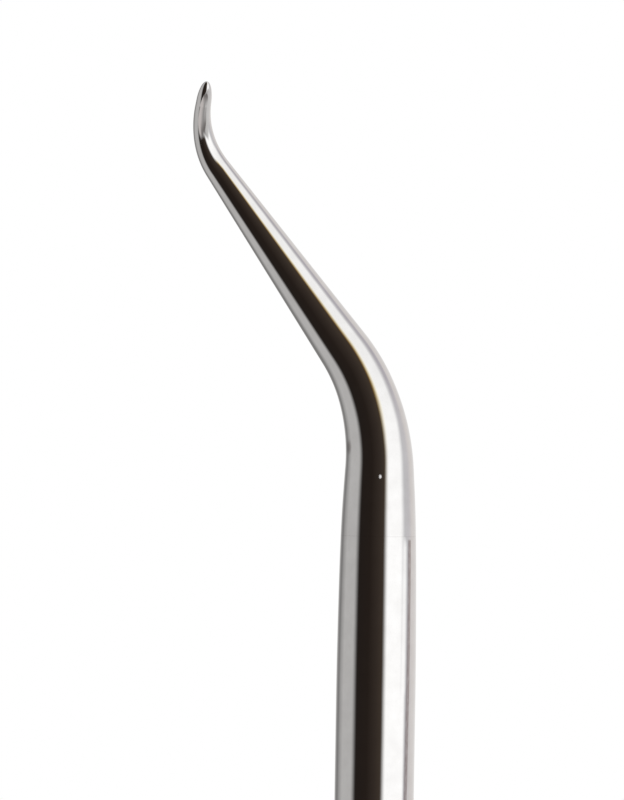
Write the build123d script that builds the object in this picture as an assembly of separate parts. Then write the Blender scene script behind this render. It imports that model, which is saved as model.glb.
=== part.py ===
from build123d import *
from math import cos, radians, sin, tan
import os

# Clay modelling tool: a polished steel rod that tapers into a bent finger with a rounded nose,
# pressed into a steel tube, on which the parts of the handle are stacked.
# Millimetres. The origin is the centre of the flat butt; +Z runs up the handle to the finger.
# The finger leans towards -X, and its nose turns towards -Y.

# Shank: the tube and the rod that it carries
shank_diameter = 6.0
seat_diameter = 5.9
tube_bore = 4.4
joint_line_z = 134.0
slip_gap = 0.02

# Centreline of the finger, from the end of the straight rod to the nose
bend_start_z = 139.0
first_bend_radius = 16.5
first_bend_turn = 21.6
second_bend_radius = 13.4
second_bend_turn = 14.4
finger_run = 16.7
tip_bend_radius = 6.3
tip_bend_turn = 45.0
tip_run = 1.73

# Lean of the nose out of the finger's plane, towards -Y: where it starts, and the length that it bends over
forward_start = 7.0
forward_bend = 4.4
forward_lean = 32.0

# Taper of the finger: distance back from the nose, measured in the finger's plane, and radius there
nose_length = 1.6
taper = [
    (1.6, 0.575),
    (3.0, 0.68),
    (6.0, 0.95),
    (7.8, 1.06),
    (26.0, 2.135),
    (31.0, 2.475),
    (36.0, 2.775),
    (38.5, 2.86),
    (42.0, 2.93),
    (50.0, 3.0),
]
finger_sections = 26
tube_taper_sections = 5

# Tang of the rod, inside the tube
tang_bottom_z = 92.0
tang_chamfer = 0.5
pin_z = 97.0
pin_diameter = 1.2

# Handle: parts that slide over the tube, from the butt upwards
handle_diameter = 9.5
cap_length = 7.0
cap_plug_length = 10.0
cap_groove_z = 5.2
cap_groove_depth = 0.35
barrel_length = 31.0
ring_length = 2.6
ring_diameter = 10.4
grip_length = 48.0
grip_band = 3.0
grip_relief_width = 0.9
grip_relief_depth = 0.4
ferrule_length = 17.0
ferrule_nose_diameter = 6.8
ferrule_band = 2.5
ferrule_groove_width = 0.8
ferrule_groove_depth = 0.35
edge_break = 0.3

tube_bottom_z = cap_length
barrel_bottom_z = cap_length
ring_bottom_z = barrel_bottom_z + barrel_length
grip_bottom_z = ring_bottom_z + ring_length
ferrule_bottom_z = grip_bottom_z + grip_length
ferrule_top_z = ferrule_bottom_z + ferrule_length
sleeve_bore = seat_diameter + 2 * slip_gap

# Runs of the finger's centreline: length, and the turn towards -X over that length
finger_runs = [
    (first_bend_radius * radians(first_bend_turn), first_bend_turn),
    (second_bend_radius * radians(second_bend_turn), second_bend_turn),
    (finger_run, 0.0),
    (tip_bend_radius * radians(tip_bend_turn), -tip_bend_turn),
    (tip_run, 0.0),
]
finger_length = sum(length for length, turn in finger_runs)


def centreline(distance):
    """Point and lean angle at a distance above the straight rod's end; negative is down the rod."""
    x, z, lean = 0.0, bend_start_z, 0.0
    if distance <= 0:
        return x, z + distance, lean
    for length, turn in finger_runs:
        step = min(distance, length)
        bend = radians(turn) * step / length
        chord = step if bend == 0 else 2 * step / bend * sin(bend / 2)
        x -= chord * sin(lean + bend / 2)
        z += chord * cos(lean + bend / 2)
        lean += bend
        distance -= step
        if distance <= 0:
            break
    return x, z, lean


def radius_at(from_nose):
    """Radius at a distance back from the nose: a smooth curve through the taper's points."""
    if from_nose >= taper[-1][0]:
        return taper[-1][1]
    slopes = [(b[1] - a[1]) / (b[0] - a[0]) for a, b in zip(taper, taper[1:])]
    ends = [slopes[0]] + [(a + b) / 2 for a, b in zip(slopes, slopes[1:])] + [0.0]
    index = max(i for i in range(len(slopes)) if i == 0 or taper[i][0] <= from_nose)
    (left, left_radius), (right, right_radius) = taper[index], taper[index + 1]
    width = right - left
    t = (from_nose - left) / width
    blend = t * t * (3 - 2 * t)
    ease_out = t * (1 - t) ** 2 * width * ends[index]
    ease_in = t * t * (t - 1) * width * ends[index + 1]
    return left_radius + (right_radius - left_radius) * blend + ease_out + ease_in


def section_plane(distance):
    """Plane square to the centreline, which leaves the finger's plane towards -Y near the nose."""
    x, z, lean = centreline(distance)
    past = max(0.0, distance - finger_length + forward_start)
    turned = min(past, forward_bend)
    slope = tan(radians(forward_lean)) * turned / forward_bend
    y = -slope * turned / 2 - slope * (past - turned)
    along = Vector(-sin(lean), -slope, cos(lean))
    across = Vector(cos(lean), 0, sin(lean))
    return Plane(origin=(x, y, z), x_dir=across, z_dir=along)


def tube_at(z_bottom, length, outer, bore):
    wall = Cylinder(outer / 2, length) - Cylinder(bore / 2, length)
    return Pos(0, 0, z_bottom + length / 2) * wall


def groove_at(z_bottom, width, outer, depth):
    return tube_at(z_bottom, width, outer + 2, outer - 2 * depth)


def cross_hole(diameter):
    return Pos(0, 0, pin_z) * Rot(90, 0, 0) * Cylinder(diameter / 2, shank_diameter + 2)


def outer_edges(part, z):
    """The largest circular edge of a turned part at a height."""
    edges = part.edges().filter_by(GeomType.CIRCLE).filter_by(lambda e: abs(e.center().Z - z) < 0.01)
    return edges.sort_by(SortBy.RADIUS)[-1]


def make_hook_tip():
    start = joint_line_z - bend_start_z
    stop = finger_length - nose_length
    step = (stop - start) / (finger_sections - 1)
    rings = []
    for i in range(finger_sections):
        distance = start + i * step
        rings.append(section_plane(distance) * Circle(radius_at(finger_length - distance)))
    finger = loft(rings)
    nose_radius = radius_at(nose_length)
    nose_reach = nose_length / cos(radians(forward_lean))
    profile = Line((0, 0), (nose_radius, 0))
    profile += EllipticalCenterArc((0, 0), nose_radius, nose_reach, start_angle=0, arc_size=90)
    profile += Line((0, nose_reach), (0, 0))
    nose = revolve(Plane.XZ * make_face(profile), Axis.Z)
    finger += section_plane(stop) * nose
    tang_length = joint_line_z - tang_bottom_z
    tang = Cylinder(tube_bore / 2 - slip_gap, tang_length)
    tang = chamfer(tang.edges().group_by(Axis.Z)[0], tang_chamfer)
    tang = Pos(0, 0, tang_bottom_z + tang_length / 2) * tang
    return finger + tang - cross_hole(pin_diameter)


def make_core_tube():
    taper_start_z = bend_start_z + finger_length - taper[-1][0]
    outline = []
    for i in range(tube_taper_sections):
        z = taper_start_z + (joint_line_z - taper_start_z) * i / (tube_taper_sections - 1)
        outline.append((radius_at(bend_start_z + finger_length - z), z))
    end_radius = outline[-1][0]
    profile = Polyline(
        outline[0],
        (shank_diameter / 2, ferrule_top_z),
        (seat_diameter / 2, ferrule_top_z),
        (seat_diameter / 2, tube_bottom_z),
        (tube_bore / 2, tube_bottom_z),
        (tube_bore / 2, joint_line_z),
        (end_radius, joint_line_z),
    )
    profile += Spline(*outline)
    tube = revolve(Plane.XZ * make_face(profile), Axis.Z)
    return tube - cross_hole(pin_diameter)


def make_tang_pin():
    length = seat_diameter - 4 * slip_gap
    return Pos(0, 0, pin_z) * Rot(90, 0, 0) * Cylinder(pin_diameter / 2 - slip_gap, length)


def make_front_ferrule():
    base = handle_diameter / 2
    nose = ferrule_nose_diameter / 2
    bore = sleeve_bore / 2
    shoulder_z = ferrule_bottom_z + ferrule_band
    profile = Polyline(
        (base, shoulder_z),
        (base, ferrule_bottom_z),
        (bore, ferrule_bottom_z),
        (bore, ferrule_top_z),
        (nose, ferrule_top_z),
    )
    profile += TangentArc((base, shoulder_z), (nose, ferrule_top_z), tangent=(0, 1))
    ferrule = revolve(Plane.XZ * make_face(profile), Axis.Z)
    groove_z = ferrule_bottom_z + ferrule_band - ferrule_groove_width
    ferrule -= groove_at(groove_z, ferrule_groove_width, handle_diameter, ferrule_groove_depth)
    return chamfer(outer_edges(ferrule, ferrule_bottom_z), edge_break)


def make_grip_sleeve():
    sleeve = tube_at(grip_bottom_z, grip_length, handle_diameter, sleeve_bore)
    lower_z = grip_bottom_z + grip_band
    upper_z = grip_bottom_z + grip_length - grip_band - grip_relief_width
    for z in (lower_z, upper_z):
        sleeve -= groove_at(z, grip_relief_width, handle_diameter, grip_relief_depth)
    for z in (grip_bottom_z, grip_bottom_z + grip_length):
        sleeve = chamfer(outer_edges(sleeve, z), edge_break)
    return sleeve


def make_middle_ring():
    ring = tube_at(ring_bottom_z, ring_length, ring_diameter, sleeve_bore)
    rims = [outer_edges(ring, z) for z in (ring_bottom_z, ring_bottom_z + ring_length)]
    return fillet(rims, ring_length / 2 - edge_break)


def make_rear_barrel():
    barrel = tube_at(barrel_bottom_z, barrel_length, handle_diameter, sleeve_bore)
    rims = [outer_edges(barrel, z) for z in (barrel_bottom_z, barrel_bottom_z + barrel_length)]
    return chamfer(rims, edge_break)


def make_end_cap():
    cap = Pos(0, 0, cap_length / 2) * Cylinder(handle_diameter / 2, cap_length)
    cap -= groove_at(cap_groove_z, ferrule_groove_width, handle_diameter, cap_groove_depth)
    cap = chamfer([outer_edges(cap, 0), outer_edges(cap, cap_length)], edge_break)
    plug = Cylinder(tube_bore / 2 - slip_gap, cap_plug_length)
    plug = chamfer(plug.edges().group_by(Axis.Z)[-1], tang_chamfer)
    return cap + Pos(0, 0, cap_length + cap_plug_length / 2) * plug


makers = {
    "hook_tip": make_hook_tip,
    "tang_pin": make_tang_pin,
    "core_tube": make_core_tube,
    "front_ferrule": make_front_ferrule,
    "grip_sleeve": make_grip_sleeve,
    "middle_ring": make_middle_ring,
    "rear_barrel": make_rear_barrel,
    "end_cap": make_end_cap,
}

os.makedirs("parts", exist_ok=True)
for node, make in makers.items():
    part = make()
    part.label = node
    export_step(part, f"parts/{node}.step")
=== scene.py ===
import math

import bpy
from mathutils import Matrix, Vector


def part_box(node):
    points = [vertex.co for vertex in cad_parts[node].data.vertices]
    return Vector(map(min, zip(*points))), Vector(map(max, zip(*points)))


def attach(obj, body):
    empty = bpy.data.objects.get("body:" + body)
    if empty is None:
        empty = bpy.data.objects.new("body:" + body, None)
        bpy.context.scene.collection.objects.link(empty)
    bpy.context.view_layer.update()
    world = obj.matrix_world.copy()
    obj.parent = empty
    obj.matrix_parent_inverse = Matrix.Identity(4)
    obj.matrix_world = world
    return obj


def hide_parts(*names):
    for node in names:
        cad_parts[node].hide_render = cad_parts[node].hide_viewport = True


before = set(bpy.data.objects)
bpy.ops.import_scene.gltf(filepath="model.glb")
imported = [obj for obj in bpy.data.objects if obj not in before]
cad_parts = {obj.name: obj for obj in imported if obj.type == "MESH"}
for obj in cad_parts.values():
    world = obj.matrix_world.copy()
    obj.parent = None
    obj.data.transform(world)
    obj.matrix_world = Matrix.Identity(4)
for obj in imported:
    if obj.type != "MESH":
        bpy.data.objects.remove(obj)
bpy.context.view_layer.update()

MM = 0.001
BODY = "root"

# The rod: the finger's centreline runs up the Z axis, then through these runs to the nose.
# Each run is its length and its turn towards -X, in metres and degrees.
BEND_START = 139.0 * MM
FINGER_RUNS = [
    (16.5 * MM * math.radians(21.6), 21.6),
    (13.4 * MM * math.radians(14.4), 14.4),
    (16.7 * MM, 0.0),
    (6.3 * MM * math.radians(45.0), -45.0),
    (1.73 * MM, 0.0),
]
FINGER_LENGTH = sum(length for length, turn in FINGER_RUNS)
# The nose leans towards -Y: how far back that starts, the length that it bends over, and the lean
FORWARD_START = 7.0 * MM
FORWARD_BEND = 4.4 * MM
FORWARD_LEAN = math.radians(32.0)
NOSE_LENGTH = 1.6 * MM
# Distance back from the nose, and the radius there, in millimetres
TAPER = [
    (1.6, 0.575),
    (3.0, 0.68),
    (6.0, 0.95),
    (7.8, 1.06),
    (26.0, 2.135),
    (31.0, 2.475),
    (36.0, 2.775),
    (38.5, 2.86),
    (42.0, 2.93),
    (50.0, 3.0),
]
ROD_RADIUS = 3.0 * MM
TUBE_BORE = 2.2 * MM
SEAT_DEPTH = 0.05 * MM
FIT_GAP = 0.02 * MM
TANG_CHAMFER = 0.5 * MM
# The finger's rim laps the end of the tube, stands this much proud of it, and flares out from the tang
RIM_LAP = 0.04 * MM
RIM_PROUD = 0.0005 * MM
RIM_FLARE = 0.01 * MM

# The tube's drawn seam: a low bead along it, by its angle at the joint from -Y towards +X in degrees
SEAM_AZIMUTH = 50.5
SEAM_TWIST = 0.22 / MM
SEAM_SPREAD = 10.5
SEAM_HEIGHT = 0.04 * MM
SEAM_FADE = 0.4 * MM
SEAM_LINE = 54.3

# Small marks on the finger: at the front a painted highlight, a white spot for a nick's glint, and at the
# side a stain; centre and half sizes
NICK_GLINT = Vector((0.04, -2.63, 138.5)) * MM
NICK_GLINT_SIZE = Vector((0.15, 0.5, 0.22)) * MM
STAIN = Vector((-2.35, -1.05, 140.66)) * MM
STAIN_SIZE = Vector((0.3, 0.9, 0.75)) * MM

# The handle
SLEEVE_BORE = 2.97 * MM
EDGE_BREAK = 0.3 * MM
PIN_EDGE = 0.1 * MM
GROOVE_WIDTH = 0.8 * MM
GROOVE_DEPTH = 0.35 * MM
CAP_GROOVE_Z = 5.2 * MM
COLLAR_NOSE = 3.4 * MM
COLLAR_BAND = 2.5 * MM
PLAIN_END = 1.0 * MM
GRIP_BAND = 3.0 * MM
RELIEF_WIDTH = 0.9 * MM
RELIEF_DEPTH = 0.4 * MM
KNURL_DEPTH = 0.26 * MM
KNURL_PITCH = 1.15 * MM
KNURL_DIAMONDS = 40

# The camera: lens and sensor in mm, the height that it sees, where it aims, and its roll in degrees
LENS = 250.0
SENSOR = 36.0
FRAME_HEIGHT = 60.45 * MM
TARGET = Vector((-5.18 * MM, 0.0, 144.17 * MM))
ROLL = -0.93

# The floor: half its width, and the distances over which its paper brightens to white
FLOOR_RADIUS = 4.0
PAPER_EDGE = 0.05
PAPER_END = 0.45

# What the steel reflects, by azimuth from -Y towards +X and by height, both in degrees.
# Below TABLE_EDGE lies a table, whose edge rises on the right up to TABLE_RISE_LIMIT.
TABLE_EDGE = -37.5
TABLE_RISE = 60.0
TABLE_RISE_LIMIT = 22.0
TABLE_BLUR = 5.0
TABLE_BLUR_RIGHT = 11.0
# The edges of the dark side and of the soft box lean to the right with height
SLANT = 0.0225
SLANT_LIMIT = 6.5
DARK_LEFT = (-76.0, -57.0)
DARK_RIGHT = (14.0, 31.0)
FRINGES = (0.85, 1.0, 1.3)
BOX_LEFT = (0.0, 10.0)
BOX_RIGHT = (70.0, 92.0)
DUSK_AZIMUTH = 109.0
SHADE_AZIMUTH = 22.0


# ---------------------------------------------------------------- meshes


def new_piece(name, vertices, faces, uvs, node, smooth=True):
    """A mesh that rides on the body and stands for a CAD node. uvs holds one pair for each face corner."""
    mesh = bpy.data.meshes.new(name)
    mesh.from_pydata(vertices, [], faces)
    layer = mesh.uv_layers.new(name="surface")
    for loop, uv in zip(layer.data, uvs):
        loop.uv = uv
    for face in mesh.polygons:
        face.use_smooth = smooth
    mesh.validate()
    piece = bpy.data.objects.new(name, mesh)
    bpy.context.scene.collection.objects.link(piece)
    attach(piece, BODY)
    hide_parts(node)
    return piece


def loft(rings, lengths, radius):
    """Vertices, faces and UVs of a tube through rings. UVs are in millimetres, round and along."""
    count = len(rings[0])
    vertices = [point for ring in rings for point in ring]
    faces = []
    uvs = []
    around = 2 * math.pi * radius / MM / count
    for i in range(len(rings) - 1):
        low, high = lengths[i] / MM, lengths[i + 1] / MM
        for j in range(count):
            k = (j + 1) % count
            left, right = j * around, (j + 1) * around
            faces.append((i * count + j, i * count + k, (i + 1) * count + k, (i + 1) * count + j))
            uvs += [(left, low), (right, low), (right, high), (left, high)]
    return vertices, faces, uvs


def closed_loft(rings, lengths, radius):
    """A sleeve with a bore: its last ring joins its first, so lengths has one value more than rings."""
    vertices, faces, uvs = loft(rings + [rings[0]], lengths, radius)
    total = len(rings) * len(rings[0])
    return vertices[:total], [tuple(v % total for v in face) for face in faces], uvs


def circle(centre, across, over, radius, count):
    points = []
    for j in range(count):
        angle = 2 * math.pi * j / count
        points.append(centre + radius * (math.cos(angle) * across + math.sin(angle) * over))
    return points


def level_circle(height, radius, count):
    """A circle round the Z axis. It starts on +Y and turns towards -X."""
    return circle(Vector((0, 0, height)), Vector((0, 1, 0)), Vector((-1, 0, 0)), radius, count)


def smoothed(outline, reach):
    """The outline with each corner cut by a small arc, and a support point on each side of it."""
    straight = -0.98
    support = 1.6
    arc_steps = 4
    points = []
    for i, corner in enumerate(outline):
        corner = Vector(corner)
        back = Vector(outline[i - 1]) - corner
        ahead = Vector(outline[(i + 1) % len(outline)]) - corner
        if back.normalized().dot(ahead.normalized()) < straight:
            points.append(tuple(corner))
            continue
        size = min(reach, back.length / 4, ahead.length / 4)
        start, stop = corner + back.normalized() * size, corner + ahead.normalized() * size
        points.append(tuple(corner + back.normalized() * size * support))
        for step in range(arc_steps + 1):
            t = step / arc_steps
            points.append(tuple(start * (1 - t) ** 2 + corner * 2 * t * (1 - t) + stop * t * t))
        points.append(tuple(corner + ahead.normalized() * size * support))
    return points


def turned(name, outline, node, edge=0.08 * MM, segments=128):
    """A closed outline of (radius, height), turned round the Z axis."""
    points = smoothed(outline, edge)
    rings = [level_circle(z, r, segments) for r, z in points]
    travelled = [0.0]
    for (r0, z0), (r1, z1) in zip(points, points[1:] + points[:1]):
        travelled.append(travelled[-1] + math.hypot(r1 - r0, z1 - z0))
    widest = max(r for r, z in points)
    vertices, faces, uvs = closed_loft(rings, travelled, widest)
    return new_piece(name, vertices, faces, uvs, node)


# ---------------------------------------------------------------- the rod and its tube


def centreline(distance):
    """Point and lean angle at a distance above the straight rod's end; negative is down the rod."""
    x, z, lean = 0.0, BEND_START, 0.0
    if distance <= 0:
        return x, z + distance, lean
    for length, turn in FINGER_RUNS:
        step = min(distance, length)
        bend = math.radians(turn) * step / length
        chord = step if bend == 0 else 2 * step / bend * math.sin(bend / 2)
        x -= chord * math.sin(lean + bend / 2)
        z += chord * math.cos(lean + bend / 2)
        lean += bend
        distance -= step
        if distance <= 0:
            break
    return x, z, lean


def radius_at(from_nose):
    """Radius at a distance back from the nose: a bullet nose, then a smooth curve through the taper."""
    if from_nose < NOSE_LENGTH:
        return TAPER[0][1] * MM * math.sqrt(max(0.0, 1 - (1 - from_nose / NOSE_LENGTH) ** 2))
    along = from_nose / MM
    if along >= TAPER[-1][0]:
        return TAPER[-1][1] * MM
    slopes = [(b[1] - a[1]) / (b[0] - a[0]) for a, b in zip(TAPER, TAPER[1:])]
    ends = [slopes[0]] + [(a + b) / 2 for a, b in zip(slopes, slopes[1:])] + [0.0]
    index = max(i for i in range(len(slopes)) if i == 0 or TAPER[i][0] <= along)
    (left, left_radius), (right, right_radius) = TAPER[index], TAPER[index + 1]
    width = right - left
    t = (along - left) / width
    blend = t * t * (3 - 2 * t)
    ease_out = t * (1 - t) ** 2 * width * ends[index]
    ease_in = t * t * (t - 1) * width * ends[index + 1]
    return MM * (left_radius + (right_radius - left_radius) * blend + ease_out + ease_in)


def section(distance):
    """Centre and the two cross directions of the rod's section at a distance along the finger."""
    x, z, lean = centreline(distance)
    past = max(0.0, distance - FINGER_LENGTH + FORWARD_START)
    bent = min(past, FORWARD_BEND)
    slope = math.tan(FORWARD_LEAN) * bent / FORWARD_BEND
    along = Vector((-math.sin(lean), -slope, math.cos(lean))).normalized()
    across = Vector((math.cos(lean), 0.0, math.sin(lean)))
    return Vector((x, -slope * (past - bent / 2), z)), across, along.cross(across)


def finger_stations(step=0.1 * MM, nose_steps=40):
    """Distance along the finger and radius, from the tang's lower end to just short of the nose."""
    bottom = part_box("hook_tip")[0].z - BEND_START
    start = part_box("core_tube")[1].z - BEND_START
    skirt = start - RIM_LAP
    tang = TUBE_BORE - FIT_GAP
    rim = radius_at(FINGER_LENGTH - start)
    stations = [(bottom, tang - TANG_CHAMFER), (bottom + TANG_CHAMFER, tang)]
    stations += [(skirt - RIM_FLARE, tang), (skirt, tang + RIM_FLARE)]
    stations += [(skirt, rim), (skirt, rim + RIM_PROUD), (start, rim + RIM_PROUD)]
    distance = start + step
    while distance < FINGER_LENGTH - NOSE_LENGTH:
        stations.append((distance, radius_at(FINGER_LENGTH - distance)))
        distance += step
    for i in range(nose_steps):
        from_nose = NOSE_LENGTH * (1 - math.sin(math.pi / 2 * i / nose_steps))
        stations.append((FINGER_LENGTH - from_nose, radius_at(from_nose)))
    return stations


def make_finger(segments=128):
    """Finger and tang in one: rings along the bent centreline, a flat lower end, and the nose's point."""
    stations = finger_stations()
    rings = []
    for distance, radius in stations:
        centre, across, over = section(distance)
        rings.append(circle(centre, over, -across, radius, segments))
    lengths = [distance for distance, radius in stations]
    vertices, faces, uvs = loft(rings, lengths, ROD_RADIUS)
    faces.append(tuple(reversed(range(segments))))
    uvs += [(0.0, lengths[0] / MM)] * segments
    apex = len(vertices)
    vertices.append(section(FINGER_LENGTH)[0])
    for j in range(segments):
        k = (j + 1) % segments
        faces.append((apex - segments + j, apex - segments + k, apex))
        uvs += [(0.0, FINGER_LENGTH / MM)] * 3
    return new_piece("polished_finger", vertices, faces, uvs, "hook_tip")


def raise_seam(tube, low, high):
    """Lift the tube's outer wall between two heights into the seam's bead, which fades at the joint."""
    outside = (TUBE_BORE + ROD_RADIUS) / 2
    for vertex in tube.data.vertices:
        spot = vertex.co
        if spot.z <= low or math.hypot(spot.x, spot.y) <= outside:
            continue
        down = high - spot.z
        off_seam = abs(math.degrees(math.atan2(spot.x, -spot.y)) - SEAM_AZIMUTH + SEAM_TWIST * down)
        if off_seam < SEAM_SPREAD:
            bead = (1 + math.cos(math.pi * off_seam / SEAM_SPREAD)) / 2
            rise = SEAM_HEIGHT * min(1.0, down / SEAM_FADE) * bead
            vertex.co = Vector((spot.x, spot.y, 0)) * (1 + rise / ROD_RADIUS) + Vector((0, 0, spot.z))


def make_tube(taper_steps=30):
    low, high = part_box("core_tube")
    collar_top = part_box("front_ferrule")[1].z
    seat = ROD_RADIUS - SEAT_DEPTH
    outline = [(TUBE_BORE, low.z), (seat, low.z), (seat, collar_top), (ROD_RADIUS, collar_top)]
    taper_start = BEND_START + FINGER_LENGTH - TAPER[-1][0] * MM
    for i in range(taper_steps):
        z = taper_start + (high.z - taper_start) * i / (taper_steps - 1)
        outline.append((radius_at(BEND_START + FINGER_LENGTH - z), z))
    outline.append((TUBE_BORE, high.z))
    tube = turned("polished_tube", outline, "core_tube", edge=0.003 * MM, segments=720)
    raise_seam(tube, collar_top, high.z)
    return tube


# ---------------------------------------------------------------- the handle


def grooved(radius, low, high, start, stop, steps=6):
    """Outer wall from low to high with one round-bottomed groove, as (radius, height) points."""
    points = [(radius, low), (radius, start)]
    for i in range(1, steps):
        angle = math.pi * i / steps
        up = (stop - start) * (1 - math.cos(angle)) / 2
        points.append((radius - GROOVE_DEPTH * math.sin(angle), start + up))
    return points + [(radius, stop), (radius, high)]


def make_ferrule(arc_steps=24):
    low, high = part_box("front_ferrule")
    base = high.x
    shoulder = low.z + COLLAR_BAND
    outline = [(SLEEVE_BORE, low.z), (base - EDGE_BREAK, low.z), (base, low.z + EDGE_BREAK)]
    groove = shoulder - GROOVE_WIDTH
    outline += grooved(base, low.z + PLAIN_END, shoulder, groove, shoulder - 0.02 * MM)
    drop, rise = base - COLLAR_NOSE, high.z - shoulder
    arc = (rise**2 + drop**2) / (2 * drop)
    for i in range(1, arc_steps + 1):
        up = rise * i / arc_steps
        outline.append((base - arc + math.sqrt(arc**2 - up**2), shoulder + up))
    outline.append((SLEEVE_BORE, high.z))
    return turned("front_collar", outline, "front_ferrule")


def make_ring(arc_steps=10):
    low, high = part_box("middle_ring")
    arc = (high.z - low.z) / 2 - EDGE_BREAK
    angles = [math.pi / 2 * i / arc_steps for i in range(arc_steps + 1)]
    outline = [(SLEEVE_BORE, low.z)]
    for angle in angles:
        outline.append((high.x - arc + arc * math.sin(angle), low.z + arc - arc * math.cos(angle)))
    for angle in angles:
        outline.append((high.x - arc + arc * math.cos(angle), high.z - arc + arc * math.sin(angle)))
    outline.append((SLEEVE_BORE, high.z))
    return turned("raised_ring", outline, "middle_ring")


def make_barrel():
    low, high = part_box("rear_barrel")
    radius = high.x
    outline = [(SLEEVE_BORE, low.z), (radius - EDGE_BREAK, low.z), (radius, low.z + EDGE_BREAK)]
    outline += [(radius, high.z - EDGE_BREAK), (radius - EDGE_BREAK, high.z), (SLEEVE_BORE, high.z)]
    return turned("plain_barrel", outline, "rear_barrel")


def make_cap():
    low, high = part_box("end_cap")
    radius = high.x
    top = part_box("rear_barrel")[0].z
    plug = TUBE_BORE - FIT_GAP
    centre = 0.0001 * MM
    groove_end = CAP_GROOVE_Z + GROOVE_WIDTH
    outline = [(centre, low.z), (radius - EDGE_BREAK, low.z), (radius, low.z + EDGE_BREAK)]
    outline += grooved(radius, low.z + PLAIN_END, top - EDGE_BREAK, CAP_GROOVE_Z, groove_end)
    outline += [(radius - EDGE_BREAK, top), (plug, top), (plug, high.z - TANG_CHAMFER)]
    outline += [(plug - TANG_CHAMFER, high.z), (centre, high.z)]
    return turned("butt_cap", outline, "end_cap")


def make_pin(segments=48):
    """Cross pin: a short rod along Y with broken ends, inside the tube."""
    low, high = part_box("tang_pin")
    centre, radius = (low + high) / 2, (high.z - low.z) / 2
    stations = [(low.y, radius - PIN_EDGE), (low.y + PIN_EDGE, radius)]
    stations += [(high.y - PIN_EDGE, radius), (high.y, radius - PIN_EDGE)]
    across, up = Vector((0, 0, 1)), Vector((1, 0, 0))
    rings = [circle(Vector((centre.x, y, centre.z)), across, up, r, segments) for y, r in stations]
    vertices, faces, uvs = loft(rings, [y for y, r in stations], radius)
    last = len(vertices) - segments
    faces += [tuple(reversed(range(segments))), tuple(range(last, last + segments))]
    uvs += [(0.0, low.y / MM)] * segments + [(0.0, high.y / MM)] * segments
    return new_piece("cross_pin", vertices, faces, uvs, "tang_pin")


def knurl_ring(row, height, radius, columns):
    """One row of the knurl's grid: its points lie on crests or in the two crossing sets of grooves."""
    ring = []
    for column, point in enumerate(level_circle(0.0, 1.0, columns)):
        from_first = abs((column + row) % 4 - 2)
        from_second = abs((column - row) % 4 - 2)
        crest = min(1.0, min(from_first, from_second) / 1.5)
        ring.append(Vector((0, 0, height)) + (radius - KNURL_DEPTH * (1 - crest)) * point)
    return ring


def make_grip():
    """Knurled sleeve between two relief grooves and two plain bands."""
    low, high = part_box("grip_sleeve")
    radius = high.x
    relief = radius - RELIEF_DEPTH
    columns = KNURL_DIAMONDS * 4
    knurl_low = low.z + GRIP_BAND + RELIEF_WIDTH
    knurl_high = high.z - GRIP_BAND - RELIEF_WIDTH
    rows = 4 * round((knurl_high - knurl_low) / KNURL_PITCH)
    wall, gap = 0.1 * MM, 0.15 * MM
    lower = [(SLEEVE_BORE, low.z), (radius - EDGE_BREAK, low.z), (radius, low.z + EDGE_BREAK)]
    lower += [(radius, low.z + GRIP_BAND), (relief, low.z + GRIP_BAND + wall), (relief, knurl_low - gap)]
    upper = [(relief, knurl_high + gap), (relief, high.z - GRIP_BAND - wall), (radius, high.z - GRIP_BAND)]
    upper += [(radius, high.z - EDGE_BREAK), (radius - EDGE_BREAK, high.z), (SLEEVE_BORE, high.z)]
    heights = [knurl_low + (knurl_high - knurl_low) * row / rows for row in range(rows + 1)]
    rings = [level_circle(z, r, columns) for r, z in lower]
    rings += [knurl_ring(row, z, radius, columns) for row, z in enumerate(heights)]
    rings += [level_circle(z, r, columns) for r, z in upper]
    lengths = [z for r, z in lower] + heights + [z for r, z in upper] + [low.z]
    vertices, faces, uvs = closed_loft(rings, lengths, radius)
    return new_piece("knurled_grip", vertices, faces, uvs, "grip_sleeve", smooth=False)


# ---------------------------------------------------------------- shader nodes


def add(tree, kind, inputs=None, **settings):
    """A node with its settings, and each of its inputs linked to a socket or set to a value."""
    node = tree.nodes.new(kind)
    for key, value in settings.items():
        setattr(node, key, value)
    for key, value in (inputs or {}).items():
        if isinstance(value, bpy.types.NodeSocket):
            tree.links.new(value, node.inputs[key])
        else:
            node.inputs[key].default_value = value
    return node


def maths(tree, operation, *values):
    return add(tree, "ShaderNodeMath", dict(enumerate(values)), operation=operation).outputs[0]


def vector_maths(tree, operation, *values):
    return add(tree, "ShaderNodeVectorMath", dict(enumerate(values)), operation=operation).outputs[0]


def length_of(tree, vector):
    node = add(tree, "ShaderNodeVectorMath", {0: vector}, operation="LENGTH")
    return node.outputs["Value"]


def product(tree, first, *others):
    for value in others:
        first = maths(tree, "MULTIPLY", first, value)
    return first


def less_from_one(tree, value):
    return maths(tree, "SUBTRACT", 1.0, value)


def distance_from(tree, value, centre):
    return maths(tree, "ABSOLUTE", maths(tree, "SUBTRACT", value, centre))


def remap(tree, value, low, high, to_low, to_high):
    ends = {"From Min": low, "From Max": high, "To Min": to_low, "To Max": to_high}
    node = add(tree, "ShaderNodeMapRange", {"Value": value, **ends}, clamp=True)
    return node.outputs["Result"]


def smooth_edge(tree, value, start, stop):
    """0 on start's side and 1 on stop's side, with a soft edge between them."""
    ends = {"From Min": start, "From Max": stop}
    node = add(tree, "ShaderNodeMapRange", {"Value": value, **ends}, interpolation_type="SMOOTHSTEP")
    return node.outputs["Result"]


def colours(tree, value, stops):
    ramp = add(tree, "ShaderNodeValToRGB", {"Fac": value})
    elements = ramp.color_ramp.elements
    while len(elements) < len(stops):
        elements.new(0.5)
    for element, (place, colour) in zip(elements, stops):
        element.position = place
        element.color = (*colour, 1.0)
    return ramp.outputs["Color"]


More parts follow.
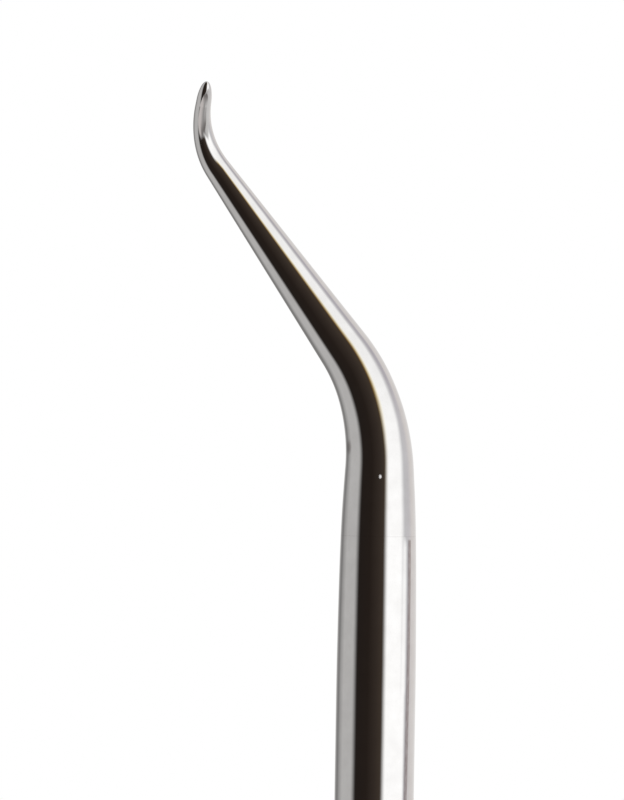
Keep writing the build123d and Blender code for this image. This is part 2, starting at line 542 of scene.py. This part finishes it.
def over(tree, below, above, mask):
    """One colour laid over another by a mask."""
    mix = add(tree, "ShaderNodeMix", data_type="RGBA")
    for socket, value in (("Factor_Float", mask), ("A_Color", below), ("B_Color", above)):
        target = next(s for s in mix.inputs if s.identifier == socket)
        if isinstance(value, bpy.types.NodeSocket):
            tree.links.new(value, target)
        else:
            target.default_value = (*value, 1.0)
    return next(s for s in mix.outputs if s.identifier == "Result_Color")


def stretched(tree, round_scale, along_scale, detail=3.0):
    """Noise over the surface's own millimetres, finer in one direction than in the other."""
    surface = add(tree, "ShaderNodeUVMap", uv_map="surface").outputs["UV"]
    scaled = vector_maths(tree, "MULTIPLY", surface, (round_scale, along_scale, 1.0))
    noise = add(tree, "ShaderNodeTexNoise", {"Vector": scaled, "Scale": 1.0, "Detail": detail})
    return noise.outputs["Fac"]


def own_place(tree):
    return add(tree, "ShaderNodeTexCoord").outputs["Object"]


def blotches(tree, scale, detail=4.0):
    """Even noise in the object's own space, so many blotches to the metre."""
    noise = add(tree, "ShaderNodeTexNoise", {"Vector": own_place(tree), "Scale": scale, "Detail": detail})
    return noise.outputs["Fac"]


def azimuth_of(tree, axes):
    """Angle round the Z axis from -Y towards +X, in degrees."""
    toward = maths(tree, "MULTIPLY", axes.outputs["Y"], -1.0)
    return maths(tree, "MULTIPLY", maths(tree, "ARCTAN2", axes.outputs["X"], toward), 180 / math.pi)


# ---------------------------------------------------------------- materials


def shader(name):
    material = bpy.data.materials.new(name)
    material.use_nodes = True
    tree = material.node_tree
    return material, tree, tree.nodes["Principled BSDF"]


def add_bump(tree, steel, height, strength, distance):
    bump = add(tree, "ShaderNodeBump", {"Height": height, "Strength": strength, "Distance": distance})
    tree.links.new(bump.outputs["Normal"], steel.inputs["Normal"])


def spot_at(tree, place, centre, size):
    """One soft-edged spot on the surface: 1 at its centre, 0 outside its half sizes."""
    offset = vector_maths(tree, "SUBTRACT", place, tuple(centre))
    scaled = vector_maths(tree, "DIVIDE", offset, tuple(size))
    return less_from_one(tree, smooth_edge(tree, length_of(tree, scaled), 0.2, 1.0))


def seam_line(tree, axes, top):
    """Fine dull line along the tube's seam, up to just under the joint."""
    height = axes.outputs["Z"]
    down = maths(tree, "SUBTRACT", top, height)
    middle = maths(tree, "SUBTRACT", SEAM_LINE, maths(tree, "MULTIPLY", down, SEAM_TWIST))
    off_line = distance_from(tree, azimuth_of(tree, axes), middle)
    line = less_from_one(tree, smooth_edge(tree, off_line, 2.4, 5.8))
    below = less_from_one(tree, smooth_edge(tree, height, top - 0.35 * MM, top - 0.15 * MM))
    uneven = remap(tree, stretched(tree, 6.0, 1.5), 0.35, 0.6, 0.7, 1.0)
    return product(tree, line, below, uneven)


def polished_steel():
    """Mirror polish: faint lapping lines along the rod, a few handling smears, a slightly warm grey."""
    material, tree, steel = shader("polished_steel")
    place = own_place(tree)
    axes = add(tree, "ShaderNodeSeparateXYZ", {0: place})
    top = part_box("core_tube")[1].z
    off_joint = distance_from(tree, axes.outputs["Z"], top)
    joint = less_from_one(tree, smooth_edge(tree, off_joint, 0.01 * MM, 0.05 * MM))
    # Painted highlight: a white, rough, non-metal spot where a nick in the steel glints
    nick_glint = spot_at(tree, place, NICK_GLINT, NICK_GLINT_SIZE)
    steel_greys = [(0.3, (0.585, 0.578, 0.572)), (0.7, (0.625, 0.620, 0.615))]
    tint = colours(tree, blotches(tree, 900.0), steel_greys)
    tint = over(tree, tint, (0.31, 0.275, 0.27), seam_line(tree, axes, top))
    tint = over(tree, tint, (0.36, 0.34, 0.33), spot_at(tree, place, STAIN, STAIN_SIZE))
    tint = over(tree, tint, (0.56, 0.55, 0.545), joint)
    tint = over(tree, tint, (0.9, 0.9, 0.92), nick_glint)
    tree.links.new(tint, steel.inputs["Base Color"])
    tree.links.new(less_from_one(tree, nick_glint), steel.inputs["Metallic"])
    lines = stretched(tree, 14.0, 0.35)
    fine = remap(tree, lines, 0.35, 0.75, 0.035, 0.065)
    worn = remap(tree, blotches(tree, 220.0), 0.55, 0.75, 0.0, 0.05)
    spot_roughness = maths(tree, "MULTIPLY", nick_glint, 0.6)
    total = maths(tree, "ADD", maths(tree, "ADD", fine, worn), spot_roughness)
    tree.links.new(total, steel.inputs["Roughness"])
    add_bump(tree, steel, lines, 0.05, 0.01 * MM)
    return material


def turned_steel():
    """Polished on the lathe: fine rings round the part."""
    material, tree, steel = shader("turned_steel")
    steel.inputs["Metallic"].default_value = 1.0
    rings = stretched(tree, 0.05, 22.0)
    tint = colours(tree, rings, [(0.3, (0.55, 0.545, 0.54)), (0.7, (0.64, 0.635, 0.63))])
    tree.links.new(tint, steel.inputs["Base Color"])
    fine = remap(tree, rings, 0.35, 0.7, 0.07, 0.16)
    smears = remap(tree, blotches(tree, 250.0), 0.5, 0.75, 0.0, 0.08)
    tree.links.new(maths(tree, "ADD", fine, smears), steel.inputs["Roughness"])
    add_bump(tree, steel, rings, 0.12, 0.02 * MM)
    return material


def brushed_steel():
    """Satin barrel: brushed round, with duller patches where it is held."""
    material, tree, steel = shader("brushed_steel")
    steel.inputs["Metallic"].default_value = 1.0
    strokes = stretched(tree, 0.35, 30.0, 5.0)
    tint = colours(tree, strokes, [(0.25, (0.42, 0.415, 0.41)), (0.75, (0.60, 0.595, 0.585))])
    tree.links.new(tint, steel.inputs["Base Color"])
    fine = remap(tree, strokes, 0.3, 0.7, 0.22, 0.36)
    dull = remap(tree, blotches(tree, 160.0), 0.45, 0.7, 0.0, 0.1)
    tree.links.new(maths(tree, "ADD", fine, dull), steel.inputs["Roughness"])
    add_bump(tree, steel, strokes, 0.25, 0.03 * MM)
    return material


def knurled_steel():
    """Knurl: bright steel crests, and grooves whose colour darkens with depth as painted shade, with
    blotchy grime over it.
    """
    material, tree, steel = shader("knurled_steel")
    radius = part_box("grip_sleeve")[1].x
    flat = vector_maths(tree, "MULTIPLY", own_place(tree), (1.0, 1.0, 0.0))
    # Painted shade: the colour darkens from the crests to the groove bottoms, with grime noise laid over it
    crest = remap(tree, length_of(tree, flat), radius - KNURL_DEPTH, radius, 0.0, 1.0)
    grime = blotches(tree, 500.0)
    level = maths(tree, "ADD", crest, remap(tree, grime, 0.3, 0.7, -0.12, 0.12))
    stops = [(0.0, (0.16, 0.15, 0.14)), (0.35, (0.36, 0.35, 0.34)), (0.9, (0.60, 0.595, 0.585))]
    tree.links.new(colours(tree, level, stops), steel.inputs["Base Color"])
    tree.links.new(remap(tree, level, 0.0, 0.4, 0.75, 1.0), steel.inputs["Metallic"])
    tree.links.new(remap(tree, level, 0.0, 1.0, 0.5, 0.2), steel.inputs["Roughness"])
    add_bump(tree, steel, grime, 0.15, 0.03 * MM)
    return material


def floor_paper():
    """Pale floor that brightens to plain white away from the tool."""
    material, tree, paper = shader("pale_floor")
    paper.inputs["Roughness"].default_value = 0.7
    grain = colours(tree, blotches(tree, 60.0), [(0.3, (0.84, 0.84, 0.84)), (0.7, (0.87, 0.87, 0.87))])
    tree.links.new(grain, paper.inputs["Base Color"])
    fade = smooth_edge(tree, length_of(tree, own_place(tree)), PAPER_EDGE, PAPER_END)
    white = add(tree, "ShaderNodeEmission", {"Color": (1, 1, 1, 1), "Strength": 1.0})
    mix = add(tree, "ShaderNodeMixShader", {0: fade, 1: paper.outputs[0], 2: white.outputs[0]})
    tree.links.new(mix.outputs[0], tree.nodes["Material Output"].inputs["Surface"])
    return material


# ---------------------------------------------------------------- studio


def stop(degrees, level, tint=(1.0, 0.985, 0.975)):
    """A stop of a ramp that runs once round the room, from -180 to 180 degrees."""
    return ((degrees + 180) / 360, tuple(level * t for t in tint))


def wall_colours(tree, turn):
    stops = [
        stop(-180, 0.95),
        stop(-160, 0.50),
        stop(-141, 0.26),
        stop(-126, 0.50),
        stop(-110, 0.70),
        stop(-60, 0.70),
        stop(82, 0.86, (0.97, 0.97, 1.0)),
        stop(108, 0.84, (1.0, 0.97, 1.0)),
        stop(126, 0.95, (1.03, 0.98, 0.96)),
        stop(180, 0.95),
    ]
    return colours(tree, turn, stops)


def table_colours(tree, turn):
    stops = [
        stop(-180, 0.90),
        stop(-140, 0.45),
        stop(-110, 0.72, (1.05, 0.985, 0.965)),
        stop(-25, 0.80, (1.05, 0.985, 0.965)),
        stop(12, 0.48, (1.0, 0.97, 0.96)),
        stop(30, 0.46, (1.0, 0.97, 0.96)),
        stop(52, 0.78),
        stop(110, 0.90),
        stop(180, 0.95),
    ]
    return colours(tree, turn, stops)


def dark_colours(tree, turn):
    stops = [
        stop(-60, 0.019, (1.3, 1.0, 0.85)),
        stop(-25, 0.020, (1.4, 1.0, 0.80)),
        stop(0, 0.038, (1.35, 1.0, 0.80)),
        stop(14, 0.052, (1.35, 1.0, 0.75)),
        stop(40, 0.060, (1.4, 1.0, 0.60)),
    ]
    return colours(tree, turn, stops)


def above_table_mask(tree, azimuth, height):
    """1 above the table's edge and 0 below it."""
    ahead = maths(tree, "COSINE", maths(tree, "MULTIPLY", azimuth, math.pi / 180))
    rise = maths(tree, "MULTIPLY", less_from_one(tree, ahead), TABLE_RISE)
    on_right = maths(tree, "GREATER_THAN", azimuth, 0.0)
    raised = maths(tree, "MULTIPLY", maths(tree, "MINIMUM", rise, TABLE_RISE_LIMIT), on_right)
    above_edge = maths(tree, "SUBTRACT", maths(tree, "SUBTRACT", height, raised), TABLE_EDGE)
    blur = remap(tree, on_right, 0.0, 1.0, TABLE_BLUR, TABLE_BLUR_RIGHT)
    return smooth_edge(tree, maths(tree, "DIVIDE", above_edge, blur), -0.5, 0.5)


def shaded_table(tree, table, azimuth, height):
    """The table with the shade that lies on it in front, under the end of the dark side."""
    off_middle = distance_from(tree, azimuth, SHADE_AZIMUTH)
    fade = smooth_edge(tree, height, -57.0, -39.0)
    cut = smooth_edge(tree, height, -34.0, -38.0)
    shade = product(tree, fade, cut, smooth_edge(tree, off_middle, 62.0, 30.0))
    return over(tree, table, (0.25, 0.23, 0.225), shade)


def dusky_wall(tree, room, azimuth, height):
    """The room with a darker strip high up on the right."""
    off_strip = distance_from(tree, azimuth, DUSK_AZIMUTH)
    strip = less_from_one(tree, smooth_edge(tree, off_strip, 4.0, 15.0))
    return over(tree, room, (0.68, 0.65, 0.70), product(tree, strip, smooth_edge(tree, height, 12.0, 28.0)))


def with_soft_box(tree, room, azimuth, height, slant, above_table):
    """The room with the large soft box on the right of the viewer, brightest low down."""
    right = less_from_one(tree, smooth_edge(tree, maths(tree, "SUBTRACT", azimuth, slant), *BOX_RIGHT))
    mask = product(tree, smooth_edge(tree, azimuth, *BOX_LEFT), right, above_table)
    level = remap(tree, height, 0.0, 30.0, 1.62, 1.42)
    white = add(tree, "ShaderNodeCombineXYZ", {"X": level, "Y": level, "Z": level})
    return over(tree, room, white.outputs[0], mask)


def with_dark_side(tree, room, dark, azimuth, slant, above_table):
    """The room with its dark side behind the viewer, whose right edge differs slightly for each colour."""
    left = smooth_edge(tree, azimuth, *DARK_LEFT)
    masks = []
    for fringe in FRINGES:
        shifted = maths(tree, "SUBTRACT", azimuth, maths(tree, "MULTIPLY", slant, fringe))
        right = less_from_one(tree, smooth_edge(tree, shifted, *DARK_RIGHT))
        masks.append(product(tree, left, right, above_table))
    mask = add(tree, "ShaderNodeCombineXYZ", dict(zip("XYZ", masks))).outputs[0]
    clear = vector_maths(tree, "SUBTRACT", (1.0, 1.0, 1.0), mask)
    return vector_maths(tree, "MULTIPLY_ADD", dark, mask, vector_maths(tree, "MULTIPLY", room, clear))


def with_back_band(tree, room, azimuth, height):
    """The room with a low dark band opposite the viewer, which shapes the tool when seen from behind."""
    behind = smooth_edge(tree, maths(tree, "ABSOLUTE", azimuth), 140.0, 168.0)
    low = product(tree, smooth_edge(tree, height, -34.0, -24.0), smooth_edge(tree, height, -5.0, -12.0))
    return over(tree, room, (0.20, 0.195, 0.19), product(tree, behind, low))


def make_world():
    """White to the eye. The tool is lit by a pale room with a dark side and a large soft box."""
    world = bpy.data.worlds.new("studio")
    bpy.context.scene.world = world
    world.use_nodes = True
    tree = world.node_tree
    tree.nodes.clear()
    place = add(tree, "ShaderNodeTexCoord").outputs["Generated"]
    axes = add(tree, "ShaderNodeSeparateXYZ", {0: place})
    azimuth = azimuth_of(tree, axes)
    height = maths(tree, "MULTIPLY", maths(tree, "ARCSINE", axes.outputs["Z"]), 180 / math.pi)
    turn = remap(tree, azimuth, -180.0, 180.0, 0.0, 1.0)
    raised = maths(tree, "MAXIMUM", height, 0.0)
    slant = maths(tree, "MINIMUM", product(tree, raised, raised, SLANT), SLANT_LIMIT)
    above_table = above_table_mask(tree, azimuth, height)

    table = shaded_table(tree, table_colours(tree, turn), azimuth, height)
    room = over(tree, table, wall_colours(tree, turn), above_table)
    room = dusky_wall(tree, room, azimuth, height)
    room = with_soft_box(tree, room, azimuth, height, slant, above_table)
    room = with_dark_side(tree, room, dark_colours(tree, turn), azimuth, slant, above_table)
    room = with_back_band(tree, room, azimuth, height)

    light = add(tree, "ShaderNodeBackground", {"Color": room, "Strength": 1.0})
    white = add(tree, "ShaderNodeBackground", {"Color": (1, 1, 1, 1), "Strength": 1.0})
    seen = add(tree, "ShaderNodeLightPath").outputs["Is Camera Ray"]
    mix = add(tree, "ShaderNodeMixShader", {0: seen, 1: light.outputs[0], 2: white.outputs[0]})
    add(tree, "ShaderNodeOutputWorld", {"Surface": mix.outputs[0]})


def make_floor():
    mesh = bpy.data.meshes.new("pale_floor")
    corners = [(x * FLOOR_RADIUS, y * FLOOR_RADIUS, 0.0) for x, y in ((-1, -1), (1, -1), (1, 1), (-1, 1))]
    mesh.from_pydata(corners, [], [(0, 1, 2, 3)])
    floor = bpy.data.objects.new("pale_floor", mesh)
    bpy.context.scene.collection.objects.link(floor)
    mesh.materials.append(floor_paper())
    floor.visible_glossy = False


def make_light():
    """Soft overhead panel: it only shapes the shadow on the floor."""
    data = bpy.data.lights.new("soft_panel", "AREA")
    data.shape = "DISK"
    data.size = 0.35
    data.energy = 1.6
    panel = bpy.data.objects.new("soft_panel", data)
    bpy.context.scene.collection.objects.link(panel)
    panel.location = (0.25, -0.1, 0.6)
    aim = Vector((0, 0, 0.02)) - panel.location
    panel.rotation_euler = aim.to_track_quat("-Z", "Y").to_euler()
    panel.visible_glossy = False
    panel.visible_camera = False


def make_camera():
    data = bpy.data.cameras.new("camera")
    data.lens = LENS
    data.sensor_width = SENSOR
    data.clip_start = 0.01
    data.clip_end = 20.0
    camera = bpy.data.objects.new("camera", data)
    bpy.context.scene.collection.objects.link(camera)
    camera.location = TARGET - Vector((0, FRAME_HEIGHT * LENS / SENSOR, 0))
    camera.rotation_euler = (math.radians(90), math.radians(ROLL), 0)
    bpy.context.scene.camera = camera


make_camera()
make_world()
make_light()
make_floor()

finishes = {
    polished_steel(): [make_finger(), make_tube()],
    turned_steel(): [make_ferrule(), make_ring(), make_cap()],
    brushed_steel(): [make_barrel(), make_pin()],
    knurled_steel(): [make_grip()],
}
for material, pieces in finishes.items():
    for piece in pieces:
        piece.data.materials.append(material)

scene = bpy.context.scene
scene.view_settings.view_transform = "Standard"
scene.view_settings.look = "None"
